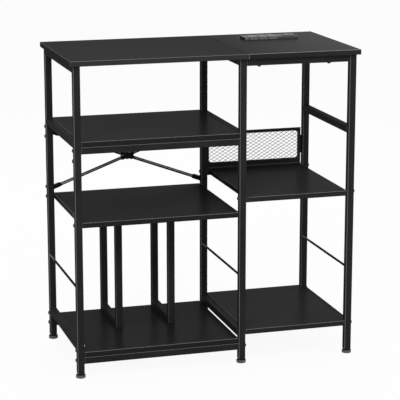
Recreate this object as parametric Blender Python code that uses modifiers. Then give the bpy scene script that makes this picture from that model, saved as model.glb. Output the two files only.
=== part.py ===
# Record player stand: two top boards, shelves on three tube frames, record bays and a power strip.
# Run with: blender --background --python part.py
# Sizes are in millimetres here and become metres when a shape is made. +X is right, -Y is the front.

import math

import bmesh
import bpy
from mathutils import Matrix, Vector

MM = 0.001

# Stock sections
TUBE = 20.0
TUBE_WALL = 1.5
TUBE_CORNER = 1.2
BOARD = 15.0
EDGE = 0.8
GUARD_DIAMETER = 7.0
GUARD_OFFSET = 6.5
DIVIDER_TUBE = 20.0
FIT = 0.3

# Main sizes
WIDTH = 860.0
DEPTH = 424.0
TOP_HEIGHT = 922.0
RIGHT_BAY = 314.0
OVERHANG = 10.0
BACK_OVERHANG = 4.0
END_GAP = 1.0
SPACER_GAP = 9.5
SEAM_OFFSET = 2.0

# Heights of the shelf tops and rails above the floor
UPPER_SHELF_TOP = 693.0
UPPER_RAIL_TOP = 693.5
MIDDLE_SHELF_TOP = 460.0
LOWER_SHELF_TOP = 78.0
LOWER_RAIL_TOP = 100.5
RIGHT_MIDDLE_TOP = 503.0
RIGHT_LOWER_TOP = 103.0
GUARD_HEIGHT = 269.5

# Bolted ends of the cross rails
RAIL_END = 5.0
RAIL_BOLT_HOLE = 7.0

# Record dividers
DIVIDER_DEPTH = 212.0
FIRST_RECORD_BAY = 143.0
LAST_RECORD_BAY = 140.7

# Cross brace
BRACE_DIAMETER = 10.0
BRACE_FLAT_WIDTH = 15.5
BRACE_FLAT_THICKNESS = 2.6
BRACE_ABOVE_SHELF = 12.5
BRACE_BELOW_SHELF = 40.5
BRACE_MARGIN = 8.0
BRACE_END_FLAT = 31.0
BRACE_END_TAPER = 8.0
BRACE_MIDDLE_FLAT = 18.0
BRACE_MIDDLE_TAPER = 2.5

# Back panel of the right middle shelf
PANEL_HEIGHT = 118.5
PANEL_BAR = 8.5
PANEL_LEFT_BAR = 6.0
PANEL_LOW_BAR = 21.5
PANEL_LIP = 7.0
PANEL_LIP_DEPTH = 3.0
PANEL_BAR_THICKNESS = 6.0
PANEL_END = 6.0
PANEL_TAB_HEIGHT = 56.0
NET_COLUMNS = 16
NET_ROWS = 8
NET_STRAND = 1.0
NET_THICKNESS = 1.5

# Power strip
STRIP_LENGTH = 169.0
STRIP_DEPTH = 49.0
STRIP_RIGHT_MARGIN = 92.0
STRIP_BACK = 86.5
STRIP_FLANGE = 3.0
STRIP_FLANGE_REACH = 14.0
STRIP_PROUD = 7.5
STRIP_POCKET = 13.0
STRIP_EDGE = 1.0
CUTOUT_LEFT = 7.0
CUTOUT_SIDE = 1.5
SOCKET_COUNT = 3
SOCKET_PITCH = 30.5
SOCKET_WIDTH = 26.0
SOCKET_DEPTH = 39.0
SOCKET_OFFSET = 30.0
SOCKET_PROUD = 1.0
SLOT_WIDTH = 2.4
SLOT_LENGTH = 8.0
SLOT_SPACING = 12.7
EARTH_HOLE = 5.2
USB_WIDTH = 36.0
USB_DEPTH = 28.0
USB_FROM_RIGHT = 22.5
USB_PORT_WIDTH = 12.4
USB_PORT_HEIGHT = 4.8
USB_PORT_PITCH = 17.0

# Levelling feet
FOOT_HEIGHT = 13.0
FOOT_RADIUS = 14.0
FOOT_RIM = 9.0
FOOT_NECK = 9.4
FOOT_CHAMFER = 1.0
STEM_RADIUS = 4.0
STEM_LENGTH = 30.0
STEM_CLEARANCE = 0.4
POST_FLOOR = 4.0

# Steps of round shapes, the reach of a cutter past a face, and the distance at which points are merged
CORNER_STEPS = 2
ROD_SIDES = 12
HOLE_SIDES = 12
EARTH_SIDES = 10
FOOT_SIDES = 20
BRACE_SIDES = 12
SMOOTH_ANGLE = math.radians(40)
PAST = 1.0
WELD = 0.01

# Positions that follow from the sizes above
LEFT = -WIDTH / 2 + OVERHANG
RIGHT = WIDTH / 2 - OVERHANG - TUBE
MIDDLE = RIGHT - RIGHT_BAY - TUBE
FRONT = -DEPTH / 2 + OVERHANG
BACK = DEPTH / 2 - BACK_OVERHANG
TOP_BOARD_LOW = TOP_HEIGHT - BOARD
POST_TOP = TOP_BOARD_LOW - FIT
POST_LOW = FOOT_HEIGHT + FIT
SEAM = MIDDLE + TUBE + SEAM_OFFSET
STRIP_RIGHT = WIDTH / 2 - STRIP_RIGHT_MARGIN
STRIP_LEFT = STRIP_RIGHT - STRIP_LENGTH
STRIP_REAR = DEPTH / 2 - STRIP_BACK
STRIP_FRONT = STRIP_REAR - STRIP_DEPTH
BRACE_LOW = MIDDLE_SHELF_TOP + BRACE_ABOVE_SHELF
BRACE_HIGH = UPPER_SHELF_TOP - BRACE_BELOW_SHELF
FRAMES = {"left": LEFT, "middle": MIDDLE, "right": RIGHT}
DEPTH_ENDS = {"front": FRONT, "back": BACK - TUBE}

# Turns that lay a shape made along Z along another axis, with its other two axes in order
AXIS_TURNS = {
    "x": (math.pi / 2, 0.0, math.pi / 2),
    "y": (math.pi / 2, 0.0, 0.0),
    "z": (0.0, 0.0, 0.0),
}

# Colour, roughness and metallic value of each finish
FINISHES = {
    "steel": ((0.016, 0.016, 0.017, 1.0), 0.42, 0.35),
    "board": ((0.020, 0.020, 0.021, 1.0), 0.40, 0.0),
    "grey_plastic": ((0.13, 0.13, 0.13, 1.0), 0.40, 0.0),
    "pale_plastic": ((0.19, 0.19, 0.19, 1.0), 0.35, 0.0),
    "black_plastic": ((0.012, 0.012, 0.013, 1.0), 0.55, 0.0),
}


def clear_scene():
    for item in list(bpy.data.objects):
        bpy.data.objects.remove(item, do_unlink=True)


def new_collection(name, helper=False):
    collection = bpy.data.collections.new(name)
    bpy.context.scene.collection.children.link(collection)
    collection.hide_render = helper
    return collection


def finish(name, kind):
    colour, roughness, metallic = FINISHES[kind]
    material = bpy.data.materials.new(name + "_finish")
    material.use_nodes = True
    shader = material.node_tree.nodes["Principled BSDF"]
    shader.inputs["Base Color"].default_value = colour
    shader.inputs["Roughness"].default_value = roughness
    shader.inputs["Metallic"].default_value = metallic
    material.diffuse_color = colour
    return material


def keep(name, mesh, kind, place, turn=AXIS_TURNS["z"]):
    """Adds a mesh to the stand with its own finish, or to the cutters if it has none."""
    item = bpy.data.objects.new(name, mesh)
    item.location = Vector(place) * MM
    item.rotation_euler = turn
    if kind is None:
        item.hide_render = True
        item.display_type = "WIRE"
        CUTTERS.objects.link(item)
        return item
    mesh.materials.append(finish(name, kind))
    STAND.objects.link(item)
    item.parent = ROOT
    return item


def to_mesh(name, data):
    """A mesh from a bmesh, shaded smooth up to its sharp edges."""
    mesh = bpy.data.meshes.new(name)
    data.to_mesh(mesh)
    data.free()
    mesh.shade_smooth()
    mesh.set_sharp_from_angle(angle=SMOOTH_ANGLE)
    return mesh


def soften(item, width):
    bevel = item.modifiers.new("edges", "BEVEL")
    bevel.width = width * MM
    bevel.segments = 1
    bevel.limit_method = "ANGLE"
    bevel.angle_limit = SMOOTH_ANGLE
    return item


def cut(item, cutter):
    boolean = item.modifiers.new("cut_" + cutter.name, "BOOLEAN")
    boolean.operation = "DIFFERENCE"
    boolean.solver = "EXACT"
    boolean.object = cutter
    return item


def on_axis(axis, along, across):
    """A point from its value along an axis and its two values across it, in the order of the other axes."""
    values = list(across)
    values.insert("xyz".index(axis), along)
    return tuple(values)


def box(name, low, high, kind):
    low = Vector(low)
    high = Vector(high)
    data = bmesh.new()
    bmesh.ops.create_cube(data, size=1.0, matrix=Matrix.Diagonal((high - low) * MM).to_4x4())
    return keep(name, to_mesh(name, data), kind, (low + high) / 2)


def rod(name, axis, low, high, centre, radius, sides, kind):
    data = bmesh.new()
    bmesh.ops.create_cone(
        data, cap_ends=True, segments=sides,
        radius1=radius * MM, radius2=radius * MM, depth=(high - low) * MM,
    )
    return keep(name, to_mesh(name, data), kind, on_axis(axis, (low + high) / 2, centre), AXIS_TURNS[axis])


def turned(name, profile, place, sides, kind):
    """A turned piece: radii and heights from the top down, carried round a vertical axis."""
    mesh = bpy.data.meshes.new(name)
    points = [(radius * MM, 0.0, height * MM) for radius, height in profile]
    mesh.from_pydata(points, [(index, index + 1) for index in range(len(points) - 1)], [])
    item = keep(name, mesh, kind, place)
    screw = item.modifiers.new("turn", "SCREW")
    screw.steps = sides
    screw.render_steps = sides
    screw.use_merge_vertices = True
    screw.merge_threshold = WELD * MM
    return item


def extruded(name, outlines, axis, low, high, kind):
    """A piece of one section along an axis: a closed outline, with any further ones as holes in it."""
    across, up = zip(*outlines[0])
    centre = ((min(across) + max(across)) / 2, (min(up) + max(up)) / 2)
    curve = bpy.data.curves.new(name, "CURVE")
    curve.dimensions = "2D"
    curve.fill_mode = "BOTH"
    curve.extrude = (high - low) / 2 * MM
    for outline in outlines:
        spline = curve.splines.new("POLY")
        spline.points.add(len(outline) - 1)
        for point, (u, v) in zip(spline.points, outline):
            point.co = ((u - centre[0]) * MM, (v - centre[1]) * MM, 0.0, 1.0)
        spline.use_cyclic_u = True
    guide = bpy.data.objects.new(name, curve)
    bpy.context.scene.collection.objects.link(guide)
    graph = bpy.context.evaluated_depsgraph_get()
    filled = bpy.data.meshes.new_from_object(guide.evaluated_get(graph))
    data = bmesh.new()
    data.from_mesh(filled)
    bmesh.ops.remove_doubles(data, verts=data.verts[:], dist=WELD * MM)
    bmesh.ops.recalc_face_normals(data, faces=data.faces[:])
    bpy.data.objects.remove(guide)
    bpy.data.curves.remove(curve)
    bpy.data.meshes.remove(filled)
    return keep(name, to_mesh(name, data), kind, on_axis(axis, (low + high) / 2, centre), AXIS_TURNS[axis])


def loft(name, rings, kind):
    """A piece through rings of equal length and unlike shape, closed at both ends."""
    middle = (sum(rings[0], Vector()) / len(rings[0]) + sum(rings[-1], Vector()) / len(rings[-1])) / 2
    data = bmesh.new()
    rows = [[data.verts.new((point - middle) * MM) for point in ring] for ring in rings]
    for one, two in zip(rows, rows[1:]):
        for index in range(len(one)):
            data.faces.new((one[index - 1], one[index], two[index], two[index - 1]))
    data.faces.new(rows[0])
    data.faces.new(rows[-1])
    bmesh.ops.recalc_face_normals(data, faces=data.faces[:])
    return keep(name, to_mesh(name, data), kind, middle)


def rectangle(low_u, low_v, high_u, high_v):
    return [(low_u, low_v), (high_u, low_v), (high_u, high_v), (low_u, high_v)]


def circle(centre, radius, sides):
    return [
        (
            centre[0] + radius * math.cos(2 * math.pi * index / sides),
            centre[1] + radius * math.sin(2 * math.pi * index / sides),
        )
        for index in range(sides)
    ]


def tube_outline(centre, inset=0.0):
    """The section of a square tube with rounded corners, or the outline that lies inset in it."""
    radius = max(TUBE_CORNER - inset, TUBE_CORNER / 4)
    half = TUBE / 2 - inset - radius
    points = []
    for corner, (side_u, side_v) in enumerate(((1, 1), (-1, 1), (-1, -1), (1, -1))):
        for step in range(CORNER_STEPS + 1):
            angle = math.pi / 2 * (corner + step / CORNER_STEPS)
            points.append((
                centre[0] + side_u * half + radius * math.cos(angle),
                centre[1] + side_v * half + radius * math.sin(angle),
            ))
    return points


def tube(name, axis, low, high, centre):
    return extruded(name, [tube_outline(centre), tube_outline(centre, TUBE_WALL)], axis, low, high, "steel")


def round_hole(name, axis, low, high, centre, radius):
    """A cutter for a round hole, whose flats are at least the radius from its axis."""
    outer = radius / math.cos(math.pi / HOLE_SIDES)
    return rod(name, axis, low - PAST, high + PAST, centre, outer, HOLE_SIDES, None)


def make_post(name, centre):
    """An upright tube, open at the top, with a floor that the stem of its foot passes through."""
    floor = POST_LOW + POST_FLOOR
    post = extruded(name, [tube_outline(centre)], "z", POST_LOW, POST_TOP, "steel")
    cut(post, extruded("bore_" + name, [tube_outline(centre, TUBE_WALL)], "z", floor, POST_TOP + PAST, None))
    cut(post, round_hole("hole_" + name, "z", POST_LOW, floor, centre, STEM_RADIUS + STEM_CLEARANCE))


def make_frames():
    """Posts, rails between the front and back posts, and the thin guard rods."""
    rail_front = FRONT + TUBE + FIT
    rail_back = BACK - TUBE - FIT
    rail_tops = {"top": POST_TOP, "upper": UPPER_RAIL_TOP, "lower": LOWER_RAIL_TOP}
    for side, left in FRAMES.items():
        middle_x = left + TUBE / 2
        for end, near in DEPTH_ENDS.items():
            make_post(f"post_{side}_{end}", (middle_x, near + TUBE / 2))
        for level, top in rail_tops.items():
            tube(f"{level}_rail_{side}", "y", rail_front, rail_back, (middle_x, top - TUBE / 2))
        rod(
            f"guard_rod_{side}", "y", rail_front, rail_back, (middle_x - GUARD_OFFSET, GUARD_HEIGHT),
            GUARD_DIAMETER / 2, ROD_SIDES, "steel",
        )


def make_top():
    """The two top boards, the window for the power strip and the rails under the right board."""
    left_board = box(
        "top_board_left", (-WIDTH / 2, -DEPTH / 2, TOP_BOARD_LOW), (SEAM, DEPTH / 2, TOP_HEIGHT), "board",
    )
    soften(left_board, EDGE)
    outline = rectangle(SEAM + FIT, -DEPTH / 2, WIDTH / 2, DEPTH / 2)
    window = rectangle(
        STRIP_LEFT - CUTOUT_LEFT, STRIP_FRONT - CUTOUT_SIDE,
        STRIP_RIGHT + CUTOUT_SIDE, STRIP_REAR + CUTOUT_SIDE,
    )
    right_board = extruded("top_board_right", [outline, window], "z", TOP_BOARD_LOW, TOP_HEIGHT, "board")
    soften(right_board, EDGE)
    for end, near in DEPTH_ENDS.items():
        tube(
            f"right_top_rail_{end}", "x", MIDDLE + TUBE + FIT, RIGHT - FIT,
            (near + TUBE / 2, POST_TOP - TUBE / 2),
        )


def make_shelf(name, low_x, high_x, top):
    soften(box(name, (low_x, FRONT, top - BOARD), (high_x, BACK, top), "board"), EDGE)


def make_cross_rails(level, shelf_top):
    """The front and back tubes under a left shelf, with closed ends that are bolted to the posts."""
    low_x = LEFT + TUBE + FIT
    high_x = MIDDLE - FIT
    middle_z = shelf_top - BOARD - FIT - TUBE / 2
    for end, near in DEPTH_ENDS.items():
        name = f"{level}_shelf_rail_{end}"
        centre = (near + TUBE / 2, middle_z)
        rail = extruded(name, [tube_outline(centre)], "x", low_x, high_x, "steel")
        bore = [tube_outline(centre, TUBE_WALL)]
        cut(rail, extruded("bore_" + name, bore, "x", low_x + RAIL_END, high_x - RAIL_END, None))
        cut(rail, round_hole("hole_" + name, "x", low_x, high_x, centre, RAIL_BOLT_HOLE / 2))


def make_left_shelves():
    """The middle shelf, bolted between the posts, and two shelves that lie on cross rails."""
    left_post = LEFT + TUBE
    for level, top in (("upper", UPPER_SHELF_TOP), ("lower", LOWER_SHELF_TOP)):
        make_shelf(f"{level}_shelf", left_post + END_GAP, MIDDLE - END_GAP, top)
        make_cross_rails(level, top)
    make_shelf("middle_shelf", left_post + FIT, MIDDLE - FIT, MIDDLE_SHELF_TOP)


def make_right_shelves():
    """Two shelves between the posts, the middle one with a pair of spacers at its left end."""
    left_post = MIDDLE + TUBE
    left_end = left_post + SPACER_GAP
    make_shelf("right_middle_shelf", left_end, RIGHT - FIT, RIGHT_MIDDLE_TOP)
    for end, near in DEPTH_ENDS.items():
        low = (left_post + FIT, near, RIGHT_MIDDLE_TOP - BOARD)
        high = (left_end - FIT, near + TUBE, RIGHT_MIDDLE_TOP)
        box(f"shelf_spacer_{end}", low, high, "steel")
    make_shelf("right_lower_shelf", left_post + FIT, RIGHT - FIT, RIGHT_LOWER_TOP)


def bent_outline(inset, top):
    """The outline of a tube bent into a U, seen from the side, or the outline that lies inset in it."""
    front = BACK - DIVIDER_DEPTH + inset
    back = BACK - inset
    low = LOWER_SHELF_TOP + FIT + inset
    thick = DIVIDER_TUBE - 2 * inset
    return [
        (front, top), (front, low), (back, low), (back, top),
        (back - thick, top), (back - thick, low + thick), (front + thick, low + thick), (front + thick, top),
    ]


def make_dividers():
    """Two bent tubes between the lower and the middle shelf, each a pair of uprights joined at the bottom."""
    top = MIDDLE_SHELF_TOP - BOARD - FIT
    lefts = {
        "divider_left": LEFT + TUBE + FIRST_RECORD_BAY,
        "divider_right": MIDDLE - LAST_RECORD_BAY - DIVIDER_TUBE,
    }
    for name, left in lefts.items():
        right = left + DIVIDER_TUBE
        divider = soften(extruded(name, [bent_outline(0.0, top)], "x", left, right, "steel"), EDGE)
        hollow = [bent_outline(TUBE_WALL, top + PAST)]
        cut(divider, extruded("bore_" + name, hollow, "x", left + TUBE_WALL, right - TUBE_WALL, None))


def brace_ring(point, wide, wide_size, thick_size, squareness):
    """A ring of a brace rod round a point, wide along the given direction and thick along Y."""
    ring = []
    for index in range(BRACE_SIDES):
        angle = 2 * math.pi * index / BRACE_SIDES
        across = math.copysign(abs(math.cos(angle)) ** squareness, math.cos(angle))
        through = math.copysign(abs(math.sin(angle)) ** squareness, math.sin(angle))
        ring.append(point + wide * wide_size * across + Vector((0.0, thick_size * through, 0.0)))
    return ring


def make_brace_rod(name, left_z, right_z, middle_turn):
    """A round rod behind two posts, flattened where it is bolted to them and where it meets the other rod."""
    radius = BRACE_DIAMETER / 2
    wide = BRACE_FLAT_WIDTH / 2
    thin = BRACE_FLAT_THICKNESS / 2
    end_y = BACK + FIT + thin
    rod_y = BACK + FIT + BRACE_FLAT_THICKNESS - radius
    middle_y = rod_y + middle_turn * (thin + FIT / 2)
    left_bolt = Vector((LEFT + TUBE / 2, 0.0, left_z))
    right_bolt = Vector((MIDDLE + TUBE / 2, 0.0, right_z))
    along = (right_bolt - left_bolt).normalized()
    across = Vector((-along.z, 0.0, along.x))
    half_length = (right_bolt - left_bolt).length / 2
    neck = BRACE_MIDDLE_FLAT + BRACE_MIDDLE_TAPER
    round_start = neck + BRACE_MIDDLE_TAPER
    end_flat = half_length - BRACE_END_FLAT
    # Distance from the middle, Y, half width, half thickness and squareness of the rings of one half
    stations = [
        (BRACE_MIDDLE_FLAT, middle_y, wide, thin, 0.5),
        (neck, middle_y, 1.08 * radius, 0.6 * radius, 0.75),
        (round_start, rod_y, radius, radius, 1.0),
        (end_flat - BRACE_END_TAPER, rod_y, radius, radius, 1.0),
        (end_flat, end_y, wide, thin, 0.5),
        (half_length + BRACE_MARGIN, end_y, wide, thin, 0.5),
    ]
    middle = (left_bolt + right_bolt) / 2
    rings = []
    for side in (-1, 1):
        for distance, y, wide_size, thick_size, squareness in stations[::side]:
            point = middle + along * side * distance + Vector((0.0, y, 0.0))
            rings.append(brace_ring(point, across, wide_size, thick_size, squareness))
    loft(name, rings, "steel")


def make_brace():
    """The cross brace behind the left section: two rods that cross, one before the other."""
    make_brace_rod("brace_rod_rising", BRACE_LOW, BRACE_HIGH, -1)
    make_brace_rod("brace_rod_falling", BRACE_HIGH, BRACE_LOW, 1)


def net_holes(low_u, low_v, high_u, high_v):
    """The diamond gaps of the net, with half diamonds along its edges."""
    half_u = (high_u - low_u) / NET_COLUMNS / 2
    half_v = (high_v - low_v) / NET_ROWS / 2
    shrink = 1 - NET_STRAND / 2 * math.hypot(1 / half_u, 1 / half_v)
    gap_u = half_u * shrink
    gap_v = half_v * shrink
    cut_u = gap_u * (1 - NET_STRAND / gap_v)
    cut_v = gap_v * (1 - NET_STRAND / gap_u)
    last_column = 2 * NET_COLUMNS
    last_row = 2 * NET_ROWS
    holes = []
    for column in range(last_column + 1):
        for row in range(last_row + 1):
            at_side = column in (0, last_column)
            at_end = row in (0, last_row)
            if (column + row) % 2 or (at_side and at_end):
                continue
            u = low_u + column * half_u
            v = low_v + row * half_v
            if at_side:
                turn = 1 if column == 0 else -1
                edge = u + turn * NET_STRAND
                holes.append([(edge, v - cut_v), (u + turn * gap_u, v), (edge, v + cut_v)])
            elif at_end:
                turn = 1 if row == 0 else -1
                edge = v + turn * NET_STRAND
                holes.append([(u - cut_u, edge), (u + cut_u, edge), (u, v + turn * gap_v)])
            else:
                holes.append([(u - gap_u, v), (u, v - gap_v), (u + gap_u, v), (u, v + gap_v)])
    return holes


def make_back_panel():
    """The net behind the right middle shelf, in a frame that stands on the shelf with a thicker lip."""
    low_x = MIDDLE + TUBE + FIT
    high_x = RIGHT - PANEL_END
    low_z = RIGHT_MIDDLE_TOP + FIT
    high_z = low_z + PANEL_HEIGHT
    inner_left = low_x + PANEL_LEFT_BAR
    inner_right = high_x - PANEL_BAR
    net_low = low_z + PANEL_LOW_BAR
    net_high = high_z - PANEL_BAR
    tab_low = (net_low + net_high - PANEL_TAB_HEIGHT) / 2
    tab_high = tab_low + PANEL_TAB_HEIGHT
    tab_right = RIGHT - FIT
    plane = BACK - TUBE / 2
    outline = [
        (low_x, low_z), (high_x, low_z),
        (high_x, tab_low), (tab_right, tab_low), (tab_right, tab_high), (high_x, tab_high),
        (high_x, high_z), (low_x, high_z),
    ]
    opening = rectangle(inner_left, net_low, inner_right, net_high)
    half = PANEL_BAR_THICKNESS / 2
    lip_front = plane - half - PANEL_LIP_DEPTH
    frame = extruded("panel_frame", [outline, opening], "y", lip_front, plane + half, "steel")
    cut(frame, box(
        "step_panel_frame",
        (low_x - PAST, lip_front - PAST, low_z + PANEL_LIP), (tab_right + PAST, plane - half, high_z + PAST), None,
    ))
    edges = (inner_left + FIT, net_low + FIT, inner_right - FIT, net_high - FIT)
    net_half = NET_THICKNESS / 2
    net = [rectangle(*edges)] + net_holes(*edges)
    extruded("panel_net", net, "y", plane - net_half, plane + net_half, "steel")


def make_insert(name, body, centre, size, holes, face, kind):
    """A moulded insert in a pocket of the strip's body, with holes through it."""
    low_x = centre[0] - size[0] / 2
    high_x = centre[0] + size[0] / 2
    low_y = centre[1] - size[1] / 2
    high_y = centre[1] + size[1] / 2
    floor = face - STRIP_POCKET
    cut(body, box(
        "pocket_" + name, (low_x - FIT, low_y - FIT, floor), (high_x + FIT, high_y + FIT, face + PAST), None,
    ))
    outlines = [rectangle(low_x, low_y, high_x, high_y)] + holes
    extruded(name, outlines, "z", floor + FIT, face + SOCKET_PROUD, kind)


def slot(centre, width, length):
    return rectangle(
        centre[0] - width / 2, centre[1] - length / 2, centre[0] + width / 2, centre[1] + length / 2,
    )


def make_power_strip():
    """The strip in the window of the right top board: body, sockets and a charging module."""
    middle_y = (STRIP_FRONT + STRIP_REAR) / 2
    face = TOP_HEIGHT + STRIP_PROUD
    flange_top = TOP_BOARD_LOW - FIT
    flange_low = flange_top - STRIP_FLANGE
    flange_left = STRIP_LEFT - CUTOUT_LEFT - STRIP_FLANGE_REACH
    flange_right = STRIP_RIGHT + CUTOUT_SIDE + STRIP_FLANGE_REACH
    outline = [
        (flange_left, flange_low), (flange_right, flange_low), (flange_right, flange_top),
        (STRIP_RIGHT, flange_top), (STRIP_RIGHT, face), (STRIP_LEFT, face), (STRIP_LEFT, flange_top),
        (flange_left, flange_top),
    ]
    body = extruded("power_strip_body", [outline], "y", STRIP_FRONT, STRIP_REAR, "grey_plastic")
    soften(body, STRIP_EDGE)
    for index in range(SOCKET_COUNT):
        centre = (STRIP_LEFT + SOCKET_OFFSET + index * SOCKET_PITCH, middle_y)
        blade_y = middle_y + SLOT_LENGTH / 2
        holes = [
            slot((centre[0] - SLOT_SPACING / 2, blade_y), SLOT_WIDTH, SLOT_LENGTH),
            slot((centre[0] + SLOT_SPACING / 2, blade_y), SLOT_WIDTH, SLOT_LENGTH),
            circle((centre[0], blade_y - SLOT_SPACING), EARTH_HOLE / 2, EARTH_SIDES),
        ]
        size = (SOCKET_WIDTH, SOCKET_DEPTH)
        make_insert(f"socket_{index + 1}", body, centre, size, holes, face, "pale_plastic")
    centre = (STRIP_RIGHT - USB_FROM_RIGHT, middle_y)
    ports = [
        slot((centre[0] + side * USB_PORT_PITCH / 2, middle_y), USB_PORT_WIDTH, USB_PORT_HEIGHT)
        for side in (-1, 1)
    ]
    make_insert("usb_module", body, centre, (USB_WIDTH, USB_DEPTH), ports, face, "black_plastic")


def make_feet():
    """Screw-in feet: a flared pad with a threaded stem in the floor of each post."""
    profile = (
        (0.0, FOOT_HEIGHT + STEM_LENGTH),
        (STEM_RADIUS, FOOT_HEIGHT + STEM_LENGTH),
        (STEM_RADIUS, FOOT_HEIGHT),
        (FOOT_NECK, FOOT_HEIGHT),
        (FOOT_NECK + FOOT_CHAMFER / 2, FOOT_HEIGHT - 2 * FOOT_CHAMFER),
        (FOOT_RADIUS - 1.5 * FOOT_CHAMFER, FOOT_RIM + FOOT_CHAMFER),
        (FOOT_RADIUS, FOOT_RIM),
        (FOOT_RADIUS, FOOT_CHAMFER),
        (FOOT_RADIUS - 2 * FOOT_CHAMFER, 0.0),
        (0.0, 0.0),
    )
    for side, left in FRAMES.items():
        for end, near in DEPTH_ENDS.items():
            place = (left + TUBE / 2, near + TUBE / 2, 0.0)
            turned(f"foot_{side}_{end}", profile, place, FOOT_SIDES, "black_plastic")


def make_stand():
    make_frames()
    make_top()
    make_left_shelves()
    make_right_shelves()
    make_dividers()
    make_brace()
    make_back_panel()
    make_power_strip()
    make_feet()


clear_scene()
STAND = new_collection("record_player_stand")
CUTTERS = new_collection("cutters", helper=True)
ROOT = bpy.data.objects.new("stand_origin", None)
STAND.objects.link(ROOT)
make_stand()
bpy.context.view_layer.update()
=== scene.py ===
# Looks of the record player stand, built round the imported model.
# Sizes are in metres. +X is right and -Y is the front.

import math

import bmesh
import bpy
from mathutils import Matrix, Vector


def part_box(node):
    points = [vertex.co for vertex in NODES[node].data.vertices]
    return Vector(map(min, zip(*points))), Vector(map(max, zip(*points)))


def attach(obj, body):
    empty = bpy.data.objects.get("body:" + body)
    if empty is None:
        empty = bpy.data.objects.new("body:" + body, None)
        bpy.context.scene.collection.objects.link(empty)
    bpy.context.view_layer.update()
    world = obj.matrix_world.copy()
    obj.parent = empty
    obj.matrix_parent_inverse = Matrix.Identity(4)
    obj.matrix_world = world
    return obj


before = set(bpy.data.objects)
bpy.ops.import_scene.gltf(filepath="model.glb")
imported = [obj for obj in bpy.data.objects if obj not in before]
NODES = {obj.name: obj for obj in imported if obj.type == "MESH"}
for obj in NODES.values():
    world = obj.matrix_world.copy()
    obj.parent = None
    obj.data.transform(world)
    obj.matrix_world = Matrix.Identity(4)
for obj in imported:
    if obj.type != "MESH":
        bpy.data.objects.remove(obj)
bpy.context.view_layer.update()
SCENE = bpy.context.scene
STAND = "stand"
ENDS = ("front", "back")
LEFT_SHELVES = ("upper_shelf", "middle_shelf", "lower_shelf")
RIGHT_SHELVES = ("right_middle_shelf", "right_lower_shelf")

# Camera, fitted to the photo's perspective
CAMERA_PLACE = (-1.39615, -4.72988, 1.6029)
CAMERA_PITCH = math.radians(76.91)
CAMERA_YAW = math.radians(-16.51)
CAMERA_LENS = 151.886
CAMERA_REACH = 100.0
SENSOR_WIDTH = 36.0

# Floor, world and lamps
FLOOR_RADIUS = 30.0
FLOOR_SIDES = 64
FLOOR_BOUNCE = 0.55
FLOOR_SEEN = 0.06
FLOOR_GLOW = 0.935
AMBIENT = 0.55
# Name, place, target, size, power
LAMPS = (
    ("key", (-1.6, -2.6, 3.2), (0.0, 0.0, 0.5), 2.4, 70.0),
    ("fill", (2.8, -2.2, 1.9), (0.0, 0.0, 0.5), 2.0, 28.0),
    ("back", (0.6, 2.8, 2.8), (0.0, 0.0, 0.6), 2.4, 30.0),
)

# Directions that edges and round rods face where they catch the light, and where highlights are painted on
# them
EDGE_LIGHT = Vector((-0.50, -0.60, 0.62)).normalized()
FRONT_LIGHT = Vector((0.0, -0.70, 0.71)).normalized()
SEAM_LIGHT = Vector((-0.70, -0.70, 0.14)).normalized()
STEEL_LIGHT = Vector((-0.58, -0.70, 0.42)).normalized()
BACK_LIGHT = Vector((0.42, 0.75, 0.51)).normalized()
BRACE_LIGHT = Vector((0.0, -0.966, 0.259)).normalized()
BRACE_BACK_LIGHT = Vector((0.03, 0.88, 0.47)).normalized()
GUARD_LIGHT = Vector((-0.60, -0.20, 0.77)).normalized()
GUARD_BACK_LIGHT = Vector((0.60, 0.20, 0.77)).normalized()

# Painted highlights along edges. A highlight is painted where the rounded normal leaves the flat one and
# turns to the light
EDGE_WIDTH = 0.0026
EDGE_SAMPLES = 6
EDGE_BEND = (0.80, 0.98)
EDGE_FACING = (0.72, 0.82)
BEVEL_FACING = (0.74, 0.82)

# Painted highlights along round rods, which come up as the surface turns to the light
BRACE_FACING = (0.972, 0.990)
GUARD_FACING = (0.55, 0.85)
BACK_FACING = (0.92, 0.98)
# How strong the painted highlight on the back of a rod is, next to the one on its front
BACK_SHINE = 0.35
# The painted front highlight of the guard rods comes up over this range of Y, near the back posts
GUARD_LIT = (0.10, 0.14)

# Painted steel
PAINT_SLOW = 9.0
PAINT_FINE = 700.0
PAINT_DEPTH = 0.0002
PAINT_ROUGHNESS = (0.38, 0.50)
PAINT_COAT_ROUGHNESS = 0.30

# Laminated boards
GRAIN_SCALE = 38.0
GRAIN_DETAIL = 6.0
GRAIN_STRETCH = (0.25, 9.0, 9.0)
CLOUD_SCALE = 5.0
CLOUD_LEAST = 0.6
PORE_SCALE = 420.0
PORE_STRETCH = (0.08, 1.0, 1.0)
PORE_DEPTH = 0.0001
PORE_STRENGTH = 0.12
BOARD_ROUGHNESS = (0.36, 0.46)
BOARD_COAT_ROUGHNESS = 0.26
# The lighter tone of a painted face shade, as a share of its darker one
FACE_SHADE_CONTRAST = 1.15
# The normal's part along an axis, below which a face counts as square to it
FACE_SHADE_FACING = -0.9

# Plastic and bare metal
PLASTIC_SLOW = 60.0
PLASTIC_FINE = 2400.0
PLASTIC_DEPTH = 0.0001
PLASTIC_STRENGTH = 0.15
PLASTIC_SPECULAR = 0.05
FOOT_SLOW = 90.0
FOOT_FINE = 2000.0
FOOT_SPECKS = 420.0
METAL_SLOW = 120.0
METAL_FINE = 1800.0
METAL_DEPTH = 0.00005
METAL_STRENGTH = 0.2
METALLIC = 0.9
ROUGHNESS_CHANGE = 0.06
PLAIN_DETAIL = 2.0

# Half the width of the painted gap shade on the strip's front
GAP_SHADE_FRONT = 0.0014
# The normal's part along an axis, past which a face of the strip counts as facing that way
STRIP_FACING = 0.5

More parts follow.
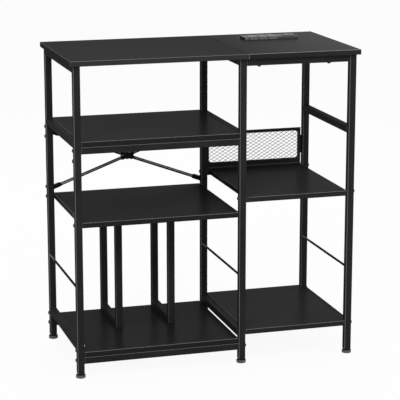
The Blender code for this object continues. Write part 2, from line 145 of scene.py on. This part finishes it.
# Bolts, nuts and screws
BOLT_RADIUS = 0.0060
BOLT_HEIGHT = 0.0048
BOLT_KEY = 0.0022
BOLT_KEY_DEPTH = 0.0020
BOLT_PITCH = 0.030
SCREW_RADIUS = 0.0055
SCREW_HEIGHT = 0.0045
SCREW_KEY = 0.0016
WASHER_RADIUS = 0.0115
WASHER_HEIGHT = 0.0015
NUT_RADIUS = 0.0058
NUT_HEIGHT = 0.0048
NUT_CHAMFER = 0.0008
THREAD_RADIUS = 0.0030
THREAD_REACH = 0.0030
THREAD_PITCH = 0.0010
THREAD_DEPTH = 0.0003
ROUND_STEPS = 24
DOME_STEPS = 5
DOME_TURN = math.radians(62)
SHARP_ANGLE = math.radians(35)
SINK = 0.0002
# The straight side of a button head, as a share of its height
HEAD_SIDE = 0.25
# Profiles from the seat up, as shares of a radius and of a height
WASHER_PROFILE = ((1.0, 0.5), (0.95, 1.0))
WASHER_HEAD_PROFILE = ((1.0, 0.0), (1.0, 0.5), (0.6, 1.0))
TIP_PROFILE = ((1.0, 0.5), (0.8, 0.9), (0.4, 1.0))

# Places of fasteners
RIGHT_SHELF_BOLT_RISE = 0.004
BRACE_BOLT_RISE = 0.01005
BRACE_BOLT_SEAT = 0.0023
INNER_TIP_HEIGHT = 0.0945
SCREW_FROM_LEFT = 0.039
SCREW_FROM_RIGHT = 0.062

# Charging ports
SHELL_SIZE = (0.0120, 0.0044)
SHELL_WALL = 0.0005
SHELL_DEPTH = 0.0115
SHELL_PROUD = 0.0018
PORT_OFFSET = 0.0085
TONGUE_SIZE = (0.0092, 0.0018)
TONGUE_LOW = 0.0012
TONGUE_TIP = 0.0004
TONGUE_TIP_SHARES = (0.9, 0.6)


def add_object(name, data):
    """A new object for a mesh, light or camera, in the scene."""
    item = bpy.data.objects.new(name, data)
    SCENE.collection.objects.link(item)
    return item


def grey(level):
    return (level, level, level, 1.0)


# Materials
class Recipe:
    """A material's node tree, with short calls to add nodes and links."""

    def __init__(self, name):
        self.material = bpy.data.materials.new(name)
        self.material.use_nodes = True
        self.tree = self.material.node_tree
        self.shader = self.tree.nodes["Principled BSDF"]

    def add(self, kind, settings=None, **inputs):
        node = self.tree.nodes.new(kind)
        for key, value in (settings or {}).items():
            setattr(node, key, value)
        for key, value in inputs.items():
            self.feed(node.inputs[key.replace("_", " ")], value)
        return node

    def feed(self, socket, value):
        if isinstance(value, bpy.types.NodeSocket):
            self.tree.links.new(value, socket)
        else:
            socket.default_value = value

    def set(self, **inputs):
        for key, value in inputs.items():
            self.feed(self.shader.inputs[key.replace("_", " ")], value)

    def along(self, axis):
        """The place on the object, along one axis."""
        place = self.add("ShaderNodeTexCoord").outputs["Object"]
        return self.add("ShaderNodeSeparateXYZ", Vector=place).outputs[axis]

    def flat_normal(self):
        return self.add("ShaderNodeNewGeometry").outputs["True Normal"]

    def facing(self, axis):
        """The part of the flat normal along one axis."""
        return self.add("ShaderNodeSeparateXYZ", Vector=self.flat_normal()).outputs[axis]

    def noise(self, scale, detail=3.0, stretch=(1.0, 1.0, 1.0)):
        place = self.add("ShaderNodeTexCoord").outputs["Object"]
        mapping = self.add("ShaderNodeMapping", Vector=place, Scale=stretch)
        node = self.add("ShaderNodeTexNoise", Vector=mapping.outputs["Vector"], Scale=scale, Detail=detail)
        return node.outputs["Fac"]

    def spread(self, value, low, high, start=0.3, stop=0.7):
        """A value from start to stop carried to the range low to high."""
        node = self.add("ShaderNodeMapRange", Value=value)
        for key, number in (("From Min", start), ("From Max", stop), ("To Min", low), ("To Max", high)):
            node.inputs[key].default_value = number
        return node.outputs["Result"]

    def mix(self, share, one, two):
        """A mix of two colours. The node's inputs 6 and 7 and its output 2 are those for colours."""
        node = self.add("ShaderNodeMix", {"data_type": "RGBA"})
        self.feed(node.inputs["Factor"], share)
        self.feed(node.inputs[6], one)
        self.feed(node.inputs[7], two)
        return node.outputs[2]

    def tones(self, noise, dark, light):
        """Greys from dark to light, spread by a noise."""
        return self.mix(self.spread(noise, 0.0, 1.0), grey(dark), grey(light))

    def math(self, operation, one, two):
        node = self.add("ShaderNodeMath", {"operation": operation})
        self.feed(node.inputs[0], one)
        self.feed(node.inputs[1], two)
        return node.outputs[0]

    def dot(self, one, two):
        node = self.add("ShaderNodeVectorMath", {"operation": "DOT_PRODUCT"})
        self.feed(node.inputs[0], one)
        self.feed(node.inputs[1], two)
        return node.outputs["Value"]

    def edge_highlights(self, *lights):
        """A mask for painted highlights: 1 along outer edges that face one of the lights, and on their
        bevels.
        """
        flat = self.flat_normal()
        bevel = self.add("ShaderNodeBevel", {"samples": EDGE_SAMPLES}, Radius=EDGE_WIDTH)
        rounded = bevel.outputs["Normal"]
        edge = self.spread(self.dot(rounded, flat), 1.0, 0.0, *EDGE_BEND)
        highlight_mask = 0.0
        for light in lights:
            toward = self.spread(self.dot(rounded, light), 0.0, 1.0, *EDGE_FACING)
            on_bevel = self.spread(self.dot(flat, light), 0.0, 1.0, *BEVEL_FACING)
            highlight = self.math("MAXIMUM", self.math("MULTIPLY", edge, toward), on_bevel)
            highlight_mask = self.math("MAXIMUM", highlight_mask, highlight)
        return highlight_mask

    def bump(self, height, distance, strength):
        node = self.add("ShaderNodeBump", Height=height, Distance=distance, Strength=strength)
        self.set(Normal=node.outputs["Normal"])

    def roughen(self, fine, roughness, depth, strength):
        """A roughness that changes a little with a fine noise, and the noise's own bumps."""
        low = roughness - ROUGHNESS_CHANGE
        high = roughness + ROUGHNESS_CHANGE
        self.set(Roughness=self.spread(fine, low, high))
        self.bump(fine, depth, strength)


def paint(name, dark, light, coat, peel):
    """Satin black paint on steel: fine orange peel and slow tone changes. Gives the recipe and its tone."""
    recipe = Recipe(name)
    slow = recipe.noise(PAINT_SLOW)
    fine = recipe.noise(PAINT_FINE, PLAIN_DETAIL)
    recipe.set(Specular_IOR_Level=0.0, Roughness=recipe.spread(slow, *PAINT_ROUGHNESS))
    recipe.set(Coat_Weight=coat, Coat_Roughness=PAINT_COAT_ROUGHNESS)
    recipe.bump(fine, PAINT_DEPTH, peel)
    return recipe, recipe.tones(slow, dark, light)


def painted_tube(name, dark, light, highlight):
    """Paint on square tube and flat steel, with highlights painted along the edges that face the lights."""
    recipe, tone = paint(name, dark, light, coat=0.04, peel=0.25)
    # Highlights painted along the edges that face the lights
    highlights = recipe.edge_highlights(STEEL_LIGHT, BACK_LIGHT)
    recipe.set(Base_Color=recipe.mix(highlights, tone, grey(highlight)))
    return recipe.material


def painted_rod(name, highlight, front, back, facing, lit=None):
    """Paint on a round rod, with a highlight painted along its length and a weaker one on its back.

    lit gives the range along Y over which the painted front highlight comes up, from none to full."""
    recipe, tone = paint(name, dark=0.0130, light=0.0190, coat=0.03, peel=0.15)
    smooth = recipe.add("ShaderNodeNewGeometry").outputs["Normal"]
    # Painted highlight along the rod where its surface faces the light
    shine = recipe.spread(recipe.dot(smooth, front), 0.0, 1.0, *facing)
    if lit:
        shine = recipe.math("MULTIPLY", shine, recipe.spread(recipe.along("Y"), 0.0, 1.0, *lit))
    behind = recipe.spread(recipe.dot(smooth, back), 0.0, BACK_SHINE, *BACK_FACING)
    shine = recipe.math("MAXIMUM", shine, behind)
    recipe.set(Base_Color=recipe.mix(shine, tone, grey(highlight)))
    return recipe.material


def laminate(name, dark, light, highlight, coat, toward=(EDGE_LIGHT,), face_shades=(), sheen=None):
    """Black board with a faint grain along its length, a thin clear coat and highlights painted on its edges.

    Tones given for the front face and the left end face are painted light and shade on those faces.
    sheen gives a coat that changes along X: its least and most, and where these are."""
    recipe = Recipe(name)
    grain = recipe.noise(GRAIN_SCALE, GRAIN_DETAIL, GRAIN_STRETCH)
    cloud = recipe.noise(CLOUD_SCALE, PLAIN_DETAIL)
    pores = recipe.noise(PORE_SCALE, PLAIN_DETAIL, PORE_STRETCH)
    share = recipe.math("MULTIPLY", recipe.spread(grain, 0.0, 1.0), recipe.spread(cloud, CLOUD_LEAST, 1.0))
    tone = recipe.mix(share, grey(dark), grey(light))
    # Painted light and shade: the front face and the left end face take their own tones
    for axis, face_shade in zip("YX", face_shades):
        faces = recipe.math("LESS_THAN", recipe.facing(axis), FACE_SHADE_FACING)
        tone = recipe.mix(faces, tone, recipe.mix(share, grey(face_shade), grey(FACE_SHADE_CONTRAST * face_shade)))
    # Highlights painted along the edges that face the lights
    highlights = recipe.edge_highlights(*toward, BACK_LIGHT)
    recipe.set(Base_Color=recipe.mix(highlights, tone, grey(highlight)), Specular_IOR_Level=0.0)
    recipe.set(Roughness=recipe.spread(grain, *BOARD_ROUGHNESS))
    recipe.set(Coat_Weight=coat, Coat_Roughness=BOARD_COAT_ROUGHNESS)
    if sheen:
        recipe.set(Coat_Weight=recipe.spread(recipe.along("X"), *sheen))
    recipe.bump(pores, PORE_DEPTH, PORE_STRENGTH)
    return recipe.material


def plastic(name, roughness, fine_scale=PLASTIC_FINE):
    """The start of a moulded plastic with a fine eroded texture."""
    recipe = Recipe(name)
    recipe.set(Specular_IOR_Level=PLASTIC_SPECULAR)
    recipe.roughen(recipe.noise(fine_scale, PLAIN_DETAIL), roughness, PLASTIC_DEPTH, PLASTIC_STRENGTH)
    return recipe


def moulded(name, dark, light, roughness):
    """Moulded plastic with a slow change of tone."""
    recipe = plastic(name, roughness)
    recipe.set(Base_Color=recipe.tones(recipe.noise(PLASTIC_SLOW), dark, light))
    return recipe.material


def strip_housing(name, greys, top, front, shade_tone, highlight):
    """Housing of the power strip: grey beside the sockets, with painted shade in the gaps, and darker past
    them.

    top and front are the tones past the sockets, set apart to stand in for the light on tops and fronts.
    The gaps and the left end face take the painted shade tone; edges facing the lights get painted
    highlights."""
    recipe = plastic(name, roughness=0.42)
    first, second, third = (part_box(f"socket_{number}") for number in (1, 2, 3))
    half_gap = (second[0].x - first[1].x) / 2
    pitch = second[0].x - first[0].x
    start = first[0].x - half_gap
    stop = third[1].x + half_gap
    x = recipe.along("X")
    distance = recipe.math("PINGPONG", recipe.math("SUBTRACT", x, start), pitch / 2)
    up = recipe.math("GREATER_THAN", recipe.facing("Z"), STRIP_FACING)
    reach = recipe.spread(up, GAP_SHADE_FRONT, half_gap, 0.0, 1.0)
    # Painted shade in the gaps between the sockets: the whole gap on tops, a thin line on fronts
    gap_shade = recipe.math("LESS_THAN", distance, reach)
    # Painted shade on the left end face
    left_end_shade = recipe.math("LESS_THAN", recipe.facing("X"), -STRIP_FACING)
    before = recipe.math("MULTIPLY", recipe.math("LESS_THAN", x, start), up)
    after = recipe.math("GREATER_THAN", x, stop)
    tone = recipe.tones(recipe.noise(PLASTIC_SLOW), *greys)
    tone = recipe.mix(recipe.math("MAXIMUM", gap_shade, left_end_shade), tone, grey(shade_tone))
    # Past the sockets, tops and fronts take separate tones that stand in for the light on them
    past = recipe.mix(up, grey(front), grey(top))
    tone = recipe.mix(recipe.math("MAXIMUM", before, after), tone, past)
    # Highlights painted along the edges that face the lights
    highlights = recipe.edge_highlights(FRONT_LIGHT, BACK_LIGHT)
    recipe.set(Base_Color=recipe.mix(highlights, tone, grey(highlight)))
    return recipe.material


def foot_plastic(name, greys, rims, rim_height):
    """Black plastic foot with a grey speckled ring at the floor."""
    recipe = plastic(name, roughness=0.50, fine_scale=FOOT_FINE)
    tone = recipe.tones(recipe.noise(FOOT_SLOW), *greys)
    rim = recipe.tones(recipe.noise(FOOT_SPECKS, PLAIN_DETAIL), *rims)
    low = recipe.math("LESS_THAN", recipe.along("Z"), rim_height)
    recipe.set(Base_Color=recipe.mix(low, tone, rim))
    return recipe.material


def bare_metal(name, dark, light, roughness):
    """Plated metal with fine turning marks."""
    recipe = Recipe(name)
    recipe.set(Base_Color=recipe.tones(recipe.noise(METAL_SLOW), dark, light), Metallic=METALLIC)
    recipe.roughen(recipe.noise(METAL_FINE), roughness, METAL_DEPTH, METAL_STRENGTH)
    return recipe.material


STEEL = painted_tube("black_steel", dark=0.0188, light=0.0254, highlight=0.190)
# Painted light: the dividers sit in shade under the shelf, so their copy of the black steel is painted
# lighter
DIVIDER = painted_tube("black_divider", dark=0.0220, light=0.0290, highlight=0.120)
PANEL = painted_tube("black_panel", dark=0.0160, light=0.0220, highlight=0.200)
BRACE = painted_rod(
    "black_brace", highlight=0.480, front=BRACE_LIGHT, back=BRACE_BACK_LIGHT, facing=BRACE_FACING,
)
GUARD = painted_rod(
    "black_guard", highlight=0.180, front=GUARD_LIGHT, back=GUARD_BACK_LIGHT, facing=GUARD_FACING, lit=GUARD_LIT,
)
LEFT_SHELF = laminate("black_left_shelf", dark=0.0158, light=0.0182, highlight=0.180, coat=0.058)
# Painted light: the right shelves take a lighter copy of the same black board
RIGHT_SHELF = laminate("black_right_shelf", dark=0.0210, light=0.0240, highlight=0.180, coat=0.060)
TOP_LEFT = laminate(
    "black_top_left", dark=0.0180, light=0.0210, highlight=0.170, coat=0.044, face_shades=(0.032, 0.011),
)
TOP_RIGHT = laminate(
    "black_top_right", dark=0.0180, light=0.0210, highlight=0.260, coat=0.060,
    toward=(FRONT_LIGHT, SEAM_LIGHT), sheen=(0.055, 0.160, 0.09, 0.43),
)
HOUSING = strip_housing(
    "grey_housing", greys=(0.135, 0.165), top=0.024, front=0.075, shade_tone=0.012, highlight=0.190,
)
SOCKET = moulded("pale_socket", dark=0.098, light=0.124, roughness=0.36)
MODULE = moulded("dark_module", dark=0.018, light=0.026, roughness=0.40)
FOOT = foot_plastic("foot_plastic", greys=(0.012, 0.018), rims=(0.098, 0.168), rim_height=0.0092)
HEAD = moulded("painted_head", dark=0.014, light=0.020, roughness=0.45)
FASTENER = bare_metal("fastener", dark=0.030, light=0.045, roughness=0.24)
BRIGHT = bare_metal("bright_metal", dark=0.60, light=0.75, roughness=0.30)


def finish_for(name):
    """The material of a CAD node, from what its name says it is."""
    if name in LEFT_SHELVES:
        return LEFT_SHELF
    if name in RIGHT_SHELVES:
        return RIGHT_SHELF
    for start, material in (
        ("foot_", FOOT), ("top_board_left", TOP_LEFT), ("top_board_right", TOP_RIGHT),
        ("brace_rod", BRACE), ("guard_rod", GUARD), ("divider_", DIVIDER), ("panel_frame", PANEL),
        ("power_strip_body", HOUSING), ("socket_", SOCKET), ("usb_module", MODULE),
    ):
        if name.startswith(start):
            return material
    return STEEL


def dress_nodes():
    for name, node in NODES.items():
        node.data.materials.clear()
        node.data.materials.append(finish_for(name))


# Fasteners
def ring(data, radius, height):
    """A closed ring of points round Z; radius may be a number or a function of the angle."""
    points = []
    for index in range(ROUND_STEPS):
        angle = 2 * math.pi * index / ROUND_STEPS
        reach = radius(angle) if callable(radius) else radius
        points.append(data.verts.new((reach * math.cos(angle), reach * math.sin(angle), height)))
    return points


def profile_rings(data, profile, radius, low, height):
    """Rings for a profile of shares, from a height up."""
    return [ring(data, wide * radius, low + rise * height) for wide, rise in profile]


def bridge(data, one, two):
    for index in range(len(one)):
        data.faces.new((one[index - 1], one[index], two[index], two[index - 1]))


def join_rings(data, rings):
    """Faces between rings in order, with the first and the last closed."""
    for one, two in zip(rings, rings[1:]):
        bridge(data, one, two)
    data.faces.new(reversed(rings[0]))
    data.faces.new(rings[-1])


def hexagon(across):
    """The reach of a hexagon whose flats are at this distance from its centre."""
    return lambda angle: across / math.cos(angle % (math.pi / 3) - math.pi / 6)


def button_head(data, radius, height, key):
    """A domed head with a hexagon socket, standing on Z = 0."""
    rings = [ring(data, radius, -SINK), ring(data, radius, HEAD_SIDE * height)]
    for step in range(1, DOME_STEPS + 1):
        turn = step / DOME_STEPS * DOME_TURN
        rise = HEAD_SIDE + (1 - HEAD_SIDE) * math.sin(turn) / math.sin(DOME_TURN)
        rings.append(ring(data, radius * math.cos(turn), height * rise))
    rings.append(ring(data, hexagon(key), height))
    rings.append(ring(data, hexagon(key), height - BOLT_KEY_DEPTH))
    join_rings(data, rings)


def nut(data):
    """A hexagon nut with chamfered corners and the threaded end of a bolt through it."""
    rings = [
        ring(data, hexagon(NUT_RADIUS), -SINK),
        ring(data, hexagon(NUT_RADIUS), NUT_HEIGHT - NUT_CHAMFER),
        ring(data, hexagon(NUT_RADIUS - NUT_CHAMFER), NUT_HEIGHT),
        ring(data, THREAD_RADIUS, NUT_HEIGHT),
    ]
    height = NUT_HEIGHT
    while height < NUT_HEIGHT + THREAD_REACH:
        rings.append(ring(data, THREAD_RADIUS - THREAD_DEPTH, height + THREAD_PITCH / 2))
        rings.append(ring(data, THREAD_RADIUS, height + THREAD_PITCH))
        height += THREAD_PITCH
    rings.append(ring(data, THREAD_RADIUS - 2 * THREAD_DEPTH, height + THREAD_PITCH / 2))
    join_rings(data, rings)


def bolt(data):
    button_head(data, BOLT_RADIUS, BOLT_HEIGHT, BOLT_KEY)


def screw(data):
    button_head(data, SCREW_RADIUS, SCREW_HEIGHT, SCREW_KEY)


def washer_head(data):
    """A screw head on a broad washer with a chamfered rim."""
    rings = [ring(data, WASHER_RADIUS, -SINK)]
    rings += profile_rings(data, WASHER_PROFILE, WASHER_RADIUS, 0.0, WASHER_HEIGHT)
    rings += profile_rings(data, WASHER_HEAD_PROFILE, SCREW_RADIUS, WASHER_HEIGHT, SCREW_HEIGHT)
    join_rings(data, rings)


def tip(data):
    """The rounded end of a bolt that comes through a post."""
    rings = [ring(data, THREAD_RADIUS, -SINK)]
    rings += profile_rings(data, TIP_PROFILE, THREAD_RADIUS, 0.0, THREAD_REACH)
    join_rings(data, rings)


def keep(name, data, material):
    """Turns a bmesh into a piece of the stand."""
    bmesh.ops.recalc_face_normals(data, faces=data.faces[:])
    mesh = bpy.data.meshes.new(name)
    data.to_mesh(mesh)
    data.free()
    mesh.shade_smooth()
    mesh.set_sharp_from_angle(angle=SHARP_ANGLE)
    mesh.materials.append(material)
    item = add_object(name, mesh)
    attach(item, STAND)


def fasteners(name, places, axis, shape, material):
    """One piece of like fasteners, each standing on its place along the given axis."""
    turn = Vector((0.0, 0.0, 1.0)).rotation_difference(Vector(axis)).to_matrix().to_4x4()
    whole = bmesh.new()
    for place in places:
        before = len(whole.verts)
        shape(whole)
        whole.verts.ensure_lookup_table()
        bmesh.ops.transform(whole, matrix=Matrix.Translation(place) @ turn, verts=whole.verts[before:])
    keep(name, whole, material)


def centre(name):
    low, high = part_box(name)
    return (low + high) / 2


def add_bolts():
    """Bolts through the posts at the rails and shelves."""
    rails = [centre("upper_shelf_rail_front").z, centre("middle_shelf").z, centre("lower_shelf_rail_front").z]
    seconds = [rails[0] - BOLT_PITCH, rails[1] + BOLT_PITCH, rails[2] + BOLT_PITCH]
    right_heights = [centre("right_middle_shelf").z + RIGHT_SHELF_BOLT_RISE, centre("right_lower_shelf").z]
    for end in ENDS:
        left_low, left_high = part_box(f"post_left_{end}")
        middle_low, middle_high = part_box(f"post_middle_{end}")
        right_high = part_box(f"post_right_{end}")[1]
        y = (left_low.y + left_high.y) / 2
        fasteners(
            f"bolts_left_{end}", [(left_low.x, y, z) for z in rails + seconds], (-1, 0, 0), bolt, FASTENER,
        )
        fasteners(f"bolt_tip_left_{end}", [(left_high.x, y, INNER_TIP_HEIGHT)], (1, 0, 0), tip, BRIGHT)
        fasteners(f"bolt_middle_low_{end}", [(middle_high.x, y, rails[2])], (1, 0, 0), bolt, FASTENER)
        fasteners(f"bolt_middle_{end}", [(middle_low.x, y, right_heights[0])], (-1, 0, 0), bolt, FASTENER)
        fasteners(
            f"bolts_right_{end}", [(right_high.x, y, z) for z in right_heights], (1, 0, 0), bolt, FASTENER,
        )


def add_brace_bolts():
    """Bolts that hold the ends of the brace rods to the back posts, and the rods to each other."""
    low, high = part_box("brace_rod_rising")
    heights = (low.z + BRACE_BOLT_RISE, high.z - BRACE_BOLT_RISE)
    sides = [centre(f"post_{side}_back").x for side in ("left", "middle")]
    places = [(x, high.y, z) for x in sides for z in heights]
    fasteners("bolts_brace", places, (0, 1, 0), bolt, FASTENER)
    middle = centre("brace_rod_rising")
    head_place = (middle.x, low.y + BRACE_BOLT_SEAT, middle.z)
    nut_place = (middle.x, high.y - BRACE_BOLT_SEAT, middle.z)
    fasteners("bolt_brace_middle", [head_place], (0, -1, 0), washer_head, HEAD)
    fasteners("nut_brace_middle", [nut_place], (0, 1, 0), nut, FASTENER)


def add_screws():
    """Screws under the right top rails."""
    for end in ENDS:
        low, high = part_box(f"right_top_rail_{end}")
        y = (low.y + high.y) / 2
        places = [(low.x + SCREW_FROM_LEFT, y, low.z), (high.x - SCREW_FROM_RIGHT, y, low.z)]
        fasteners(f"screws_top_{end}", places, (0, 0, -1), screw, FASTENER)


# Charging ports
def rectangle(data, middle, size, height):
    half_x = size[0] / 2
    half_y = size[1] / 2
    corners = ((-half_x, -half_y), (half_x, -half_y), (half_x, half_y), (-half_x, half_y))
    return [data.verts.new((middle[0] + x, middle[1] + y, height)) for x, y in corners]


def add_ports():
    """The metal shell and the tongue in each charging port."""
    middle = centre("usb_module")
    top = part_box("usb_module")[1].z + SHELL_PROUD
    bottom = top - SHELL_DEPTH
    tongue_top = top - TONGUE_LOW
    inner = (SHELL_SIZE[0] - 2 * SHELL_WALL, SHELL_SIZE[1] - 2 * SHELL_WALL)
    slim = (TONGUE_TIP_SHARES[0] * TONGUE_SIZE[0], TONGUE_TIP_SHARES[1] * TONGUE_SIZE[1])
    data = bmesh.new()
    for side in (-PORT_OFFSET, PORT_OFFSET):
        place = (middle.x + side, middle.y)
        walls = [
            rectangle(data, place, SHELL_SIZE, bottom), rectangle(data, place, SHELL_SIZE, top),
            rectangle(data, place, inner, top), rectangle(data, place, inner, bottom),
        ]
        for index in range(len(walls)):
            bridge(data, walls[index - 1], walls[index])
        join_rings(data, [
            rectangle(data, place, TONGUE_SIZE, bottom), rectangle(data, place, TONGUE_SIZE, tongue_top),
            rectangle(data, place, slim, tongue_top + TONGUE_TIP),
        ])
    keep("charging_ports", data, BRIGHT)


# Stage
def lit_white(tree, surface, glow):
    """One surface for light that bounces, and another for the camera and for reflections."""
    path = tree.nodes.new("ShaderNodeLightPath")
    seen = path.outputs["Is Camera Ray"]
    for name in ("Is Glossy Ray", "Is Transmission Ray"):
        most = tree.nodes.new("ShaderNodeMath")
        most.operation = "MAXIMUM"
        tree.links.new(seen, most.inputs[0])
        tree.links.new(path.outputs[name], most.inputs[1])
        seen = most.outputs[0]
    mix = tree.nodes.new("ShaderNodeMixShader")
    tree.links.new(seen, mix.inputs[0])
    tree.links.new(surface, mix.inputs[1])
    tree.links.new(glow, mix.inputs[2])
    return mix.outputs[0]


def add_floor():
    """A pale floor that shows white to the camera but keeps a soft shadow."""
    data = bmesh.new()
    bmesh.ops.create_circle(data, cap_ends=True, radius=FLOOR_RADIUS, segments=FLOOR_SIDES)
    mesh = bpy.data.meshes.new("floor")
    data.to_mesh(mesh)
    data.free()
    material = bpy.data.materials.new("pale_floor")
    material.use_nodes = True
    tree = material.node_tree
    tree.nodes.clear()
    plain = tree.nodes.new("ShaderNodeBsdfDiffuse")
    plain.inputs["Color"].default_value = grey(FLOOR_BOUNCE)
    pale = tree.nodes.new("ShaderNodeBsdfDiffuse")
    pale.inputs["Color"].default_value = grey(FLOOR_SEEN)
    glow = tree.nodes.new("ShaderNodeEmission")
    glow.inputs["Strength"].default_value = FLOOR_GLOW
    both = tree.nodes.new("ShaderNodeAddShader")
    tree.links.new(pale.outputs[0], both.inputs[0])
    tree.links.new(glow.outputs[0], both.inputs[1])
    out = tree.nodes.new("ShaderNodeOutputMaterial")
    tree.links.new(lit_white(tree, plain.outputs[0], both.outputs[0]), out.inputs["Surface"])
    mesh.materials.append(material)
    add_object("floor", mesh)


def add_world():
    """An even soft light, with a white background."""
    world = bpy.data.worlds.new("studio")
    world.use_nodes = True
    SCENE.world = world
    tree = world.node_tree
    tree.nodes.clear()
    plain = tree.nodes.new("ShaderNodeBackground")
    plain.inputs["Color"].default_value = grey(1.0)
    plain.inputs["Strength"].default_value = AMBIENT
    glow = tree.nodes.new("ShaderNodeBackground")
    glow.inputs["Color"].default_value = grey(1.0)
    out = tree.nodes.new("ShaderNodeOutputWorld")
    tree.links.new(lit_white(tree, plain.outputs[0], glow.outputs[0]), out.inputs["Surface"])


def add_lamps():
    for name, place, target, size, power in LAMPS:
        data = bpy.data.lights.new(name, "AREA")
        data.shape = "DISK"
        data.size = size
        data.energy = power
        lamp = add_object(name, data)
        lamp.location = place
        lamp.rotation_euler = (Vector(target) - Vector(place)).to_track_quat("-Z", "Y").to_euler()


def add_camera():
    data = bpy.data.cameras.new("camera")
    data.sensor_width = SENSOR_WIDTH
    data.lens = CAMERA_LENS
    data.clip_end = CAMERA_REACH
    camera = add_object("camera", data)
    camera.location = CAMERA_PLACE
    camera.rotation_euler = (CAMERA_PITCH, 0.0, CAMERA_YAW)
    SCENE.camera = camera


SCENE.view_settings.view_transform = "Standard"
add_camera()
add_world()
add_lamps()
add_floor()
dress_nodes()
add_bolts()
add_brace_bolts()
add_screws()
add_ports()
